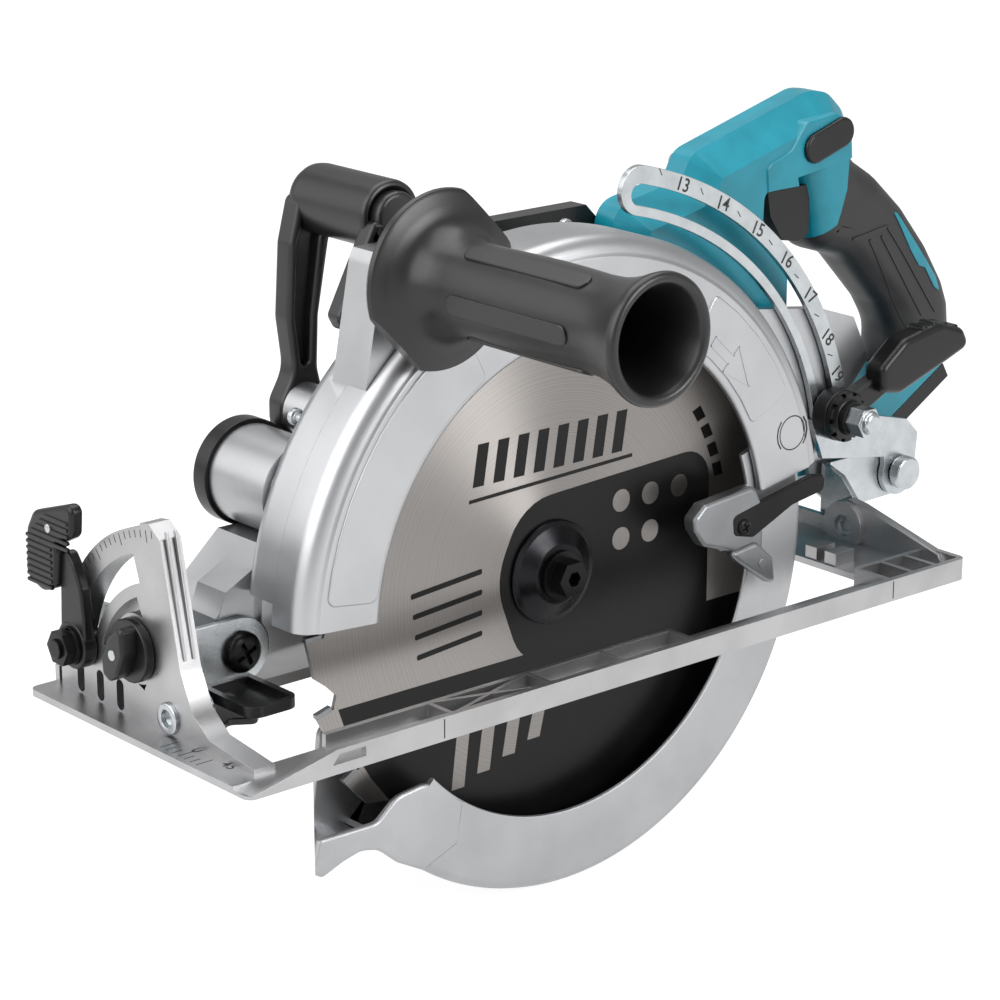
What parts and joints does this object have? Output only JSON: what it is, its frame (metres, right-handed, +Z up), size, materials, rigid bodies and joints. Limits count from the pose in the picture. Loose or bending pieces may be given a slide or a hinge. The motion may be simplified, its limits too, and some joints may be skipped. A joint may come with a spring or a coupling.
{
  "type": "cordless circular saw",
  "caption": "Rear-handle circular saw with a cast base that tilts, a depth guide, a sprung lower guard, side grips and a battery slide.",
  "frame": {"origin": "on the sole, straight below the spindle, in the blade's middle plane", "axes": "+X forward along the cut, +Y to the blade side, +Z up from the sole"},
  "size_m": [0.505, 0.28, 0.316],
  "materials": {
    "cast_silver": "satin cast",
    "zinc_steel": "zinc plated",
    "black_plastic": "fine texture",
    "teal_plastic": "satin",
    "black_rubber": "matt texture",
    "black_steel": "black oxide",
    "grey_cast": "satin cast",
    "blade_steel": "brushed",
    "bearing_steel": "ground",
    "lamination": "stacked sheet",
    "contact_brass": "plain"
  },
  "bodies": {
    "base": {"base_plate": "cast_silver", "bevel_pins": "zinc_steel"},
    "knob": {"stop_knob": "black_plastic"},
    "tilt": {"front_bracket": "zinc_steel", "front_tray": "black_plastic", "rear_bracket": "zinc_steel", "bevel_clamp_bolt": "black_steel", "guide_pin": "zinc_steel", "depth_screw": "black_steel"},
    "bevel_clamp": {"bevel_lever": "black_plastic", "bevel_nut": "black_steel"},
    "guide": {"depth_guide": "zinc_steel"},
    "saw": {"blade_case": "cast_silver", "guard_cover": "cast_silver", "cover_screws": "zinc_steel", "dust_ring": "black_plastic", "side_grip": "black_plastic", "side_grip_stud": "zinc_steel", "loop_handle": "black_plastic", "loop_bolt": "zinc_steel", "gear_housing": "cast_silver", "bearing_plate": "cast_silver", "motor_housing": "black_plastic", "motor_screws": "zinc_steel", "stator": "lamination", "handle_shell_near": "teal_plastic", "handle_shell_far": "teal_plastic", "handle_grip": "black_rubber", "shell_screws": "zinc_steel", "switch_unit": "black_plastic", "controller": "black_plastic", "terminal_plate": "black_plastic", "terminal_blades": "contact_brass", "spindle_bearings": "bearing_steel", "lay_bearings": "bearing_steel", "rotor_bearings": "bearing_steel", "guard_ring": "black_steel", "guard_spring": "bearing_steel", "depth_bolt": "zinc_steel"},
    "depth_clamp": {"depth_lever": "black_plastic", "depth_collar": "black_plastic", "depth_nut": "zinc_steel"},
    "guard": {"lower_guard": "cast_silver", "guard_lever": "grey_cast", "guard_wing": "black_steel", "guard_screw": "black_steel"},
    "blade_set": {"blade": "blade_steel", "inner_flange": "bearing_steel", "outer_flange": "black_steel", "blade_bolt": "black_steel", "spindle": "bearing_steel", "spindle_gear": "bearing_steel"},
    "intermediate": {"lay_shaft": "bearing_steel", "lay_gear": "bearing_steel"},
    "rotor": {"rotor_shaft": "bearing_steel", "rotor_core": "lamination", "cooling_fan": "black_plastic"},
    "trigger": {"trigger": "black_plastic"},
    "lock_off": {"lock_off_button": "black_plastic"},
    "spindle_lock": {"shaft_lock": "black_plastic"}
  },
  "joints": [
    {"name": "bevel_tilt", "type": "hinge", "parent": "base", "child": "tilt", "pos_m": [0, -0.012, 0.01], "axis": [-1, 0, 0], "range_deg": [0, 48]},
    {"name": "stop_knob_turn", "type": "hinge", "parent": "base", "child": "knob", "pos_m": [0.187, -0.033, 0.033], "axis": [1, 0, 0], "range_deg": [0, 90]},
    {"name": "bevel_lever_swing", "type": "hinge", "parent": "tilt", "child": "bevel_clamp", "pos_m": [0.187, -0.06982, 0.02603], "axis": [1, 0, 0], "range_deg": [0, 60]},
    {"name": "depth_swing", "type": "hinge", "parent": "tilt", "child": "saw", "pos_m": [0.149, -0.02, 0.0275], "axis": [0, 1, 0], "range_deg": [0, 28]},
    {"name": "guide_swing", "type": "hinge", "parent": "tilt", "child": "guide", "pos_m": [-0.2475, -0.0295, 0.022], "axis": [0, -1, 0], "range_deg": [0, 18.2]},
    {"name": "depth_lever_swing", "type": "hinge", "parent": "saw", "child": "depth_clamp", "pos_m": [-0.197, -0.02, 0.0605], "axis": [0, 1, 0], "range_deg": [0, 60]},
    {"name": "guard_swing", "type": "hinge", "parent": "saw", "child": "guard", "pos_m": [0, -0.012, 0.033], "axis": [0, 1, 0], "range_deg": [0, 105], "stiffness_Nm_per_rad": 0.3, "springref_deg": -34.38},
    {"name": "blade_spin", "type": "hinge", "parent": "saw", "child": "blade_set", "pos_m": [0, 0, 0.033], "axis": [0, 1, 0], "continuous": true},
    {"name": "intermediate_spin", "type": "hinge", "parent": "saw", "child": "intermediate", "pos_m": [-0.00711, -0.045, 0.06829], "axis": [0, 1, 0], "continuous": true},
    {"name": "rotor_spin", "type": "hinge", "parent": "saw", "child": "rotor", "pos_m": [-0.04, -0.09, 0.099], "axis": [0, 1, 0], "continuous": true},
    {"name": "trigger_pull", "type": "slide", "parent": "saw", "child": "trigger", "axis": [-1, 0, 0], "range_m": [0, 0.006], "stiffness_N_per_m": 600, "springref_m": -0.004},
    {"name": "lock_off_press", "type": "slide", "parent": "saw", "child": "lock_off", "axis": [0, -1, 0], "range_m": [0, 0.003], "stiffness_N_per_m": 600, "springref_m": -0.003},
    {"name": "spindle_lock_press", "type": "slide", "parent": "saw", "child": "spindle_lock", "axis": [-1, 0, 0], "range_m": [0, 0.003], "stiffness_N_per_m": 600, "springref_m": -0.003}
  ],
  "couplings": [
    {"joint": "guide_swing", "follows": "depth_swing", "ratio": 0.642},
    {"joint": "intermediate_spin", "follows": "blade_spin", "ratio": -1.4},
    {"joint": "rotor_spin", "follows": "blade_spin", "ratio": 4.9}
  ]
}
